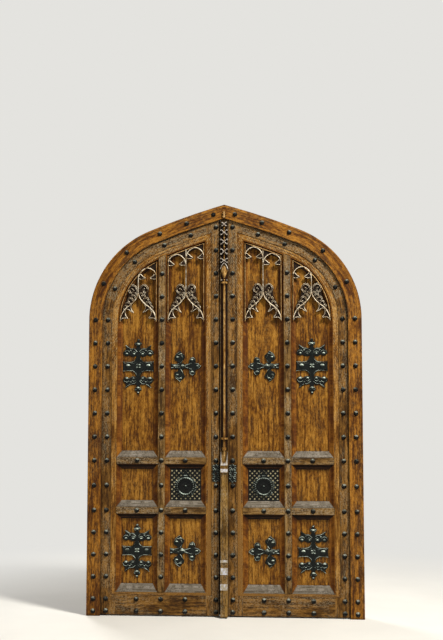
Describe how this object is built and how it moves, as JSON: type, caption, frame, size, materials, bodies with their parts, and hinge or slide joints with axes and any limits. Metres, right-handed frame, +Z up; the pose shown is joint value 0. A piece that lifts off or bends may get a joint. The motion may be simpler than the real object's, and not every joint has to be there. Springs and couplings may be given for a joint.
{
  "type": "arched double door",
  "caption": "Arched oak double door in its studded timber frame, with panelled leaves, carved tracery, iron ornaments and ring pulls, opening inward on hook and band hinges.",
  "frame": {"origin": "bottom centre of the bounding box, on the line of the frame's feet", "axes": "+X to the viewer's right from the street side, +Y inward through the doorway, +Z up"},
  "size_m": [2.41, 0.175, 3.6049],
  "materials": {
    "frame_oak": "dark red-brown weathered oak",
    "leaf_oak": "honey brown weathered oak",
    "panel_oak": "lighter golden oak",
    "border_oak": "pale worn oak",
    "moulding_oak": "darker moulded oak",
    "carved_oak": "grey weathered carved oak",
    "bar_oak": "oak with grey weathered ledges",
    "wrought_iron": "black wrought iron with worn edges",
    "ring_iron": "black wrought iron, polished by hands",
    "lock_steel": "black painted steel"
  },
  "bodies": {
    "frame": {"frame_jamb_left": "frame_oak", "frame_jamb_right": "frame_oak", "frame_head_left": "frame_oak", "frame_head_right": "frame_oak", "frame_studs": "wrought_iron", "head_finial": "carved_oak", "hinge_hooks_left": "wrought_iron", "hinge_hooks_right": "wrought_iron", "bolt_keeper": "lock_steel"},
    "left_leaf": {"left_outer_stile": "leaf_oak", "left_arched_stile": "leaf_oak", "left_meeting_stile": "leaf_oak", "left_muntin": "leaf_oak", "left_bottom_rail": "leaf_oak", "left_cross_rails": "leaf_oak", "left_border": "border_oak", "left_upper_panels": "panel_oak", "left_middle_panels": "panel_oak", "left_lower_panels": "panel_oak", "left_mouldings": "moulding_oak", "left_tracery_outer": "carved_oak", "left_tracery_inner": "carved_oak", "left_cross_ornaments": "wrought_iron", "left_strap_ends": "wrought_iron", "left_ring_plate": "wrought_iron", "left_ring_hanger": "wrought_iron", "left_escutcheon": "wrought_iron", "left_studs": "wrought_iron", "left_hinge_bands": "wrought_iron", "left_lock_case": "lock_steel"},
    "right_leaf": {"right_outer_stile": "leaf_oak", "right_arched_stile": "leaf_oak", "right_meeting_stile": "leaf_oak", "right_muntin": "leaf_oak", "right_bottom_rail": "leaf_oak", "right_cross_rails": "leaf_oak", "right_border": "border_oak", "right_upper_panels": "panel_oak", "right_middle_panels": "panel_oak", "right_lower_panels": "panel_oak", "right_mouldings": "moulding_oak", "right_tracery_outer": "carved_oak", "right_tracery_inner": "carved_oak", "right_cross_ornaments": "wrought_iron", "right_strap_ends": "wrought_iron", "right_ring_plate": "wrought_iron", "right_ring_hanger": "wrought_iron", "right_escutcheon": "wrought_iron", "right_studs": "wrought_iron", "right_hinge_bands": "wrought_iron", "right_cover_bar": "bar_oak", "right_cover_shaft": "bar_oak", "right_pinnacle": "carved_oak", "right_lock_keeper": "lock_steel", "right_bolt_guides": "lock_steel"},
    "left_ring": {"left_pull_ring": "ring_iron"},
    "right_ring": {"right_pull_ring": "ring_iron"},
    "lock_bolt": {"left_lock_bolt": "lock_steel"},
    "top_bolt": {"top_bolt": "lock_steel"},
    "foot_bolt": {"foot_bolt": "lock_steel"}
  },
  "joints": [
    {"name": "left_leaf_swing", "type": "hinge", "parent": "frame", "child": "left_leaf", "pos_m": [-1.1, 0.064, 1.42], "axis": [0, 0, 1], "range_deg": [0, 95]},
    {"name": "right_leaf_swing", "type": "hinge", "parent": "frame", "child": "right_leaf", "pos_m": [1.1, 0.064, 1.42], "axis": [0, 0, -1], "range_deg": [0, 95]},
    {"name": "left_ring_lift", "type": "hinge", "parent": "left_leaf", "child": "left_ring", "pos_m": [-0.343, -0.001, 1.205], "axis": [-1, 0, 0], "range_deg": [0, 100]},
    {"name": "right_ring_lift", "type": "hinge", "parent": "right_leaf", "child": "right_ring", "pos_m": [0.343, -0.001, 1.205], "axis": [-1, 0, 0], "range_deg": [0, 100]},
    {"name": "lock_bolt_slide", "type": "slide", "parent": "left_leaf", "child": "lock_bolt", "axis": [1, 0, 0], "range_m": [0, 0.03]},
    {"name": "top_bolt_slide", "type": "slide", "parent": "right_leaf", "child": "top_bolt", "axis": [0, 0, 1], "range_m": [0, 0.03]},
    {"name": "foot_bolt_slide", "type": "slide", "parent": "right_leaf", "child": "foot_bolt", "axis": [0, 0, -1], "range_m": [0, 0.03]}
  ]
}
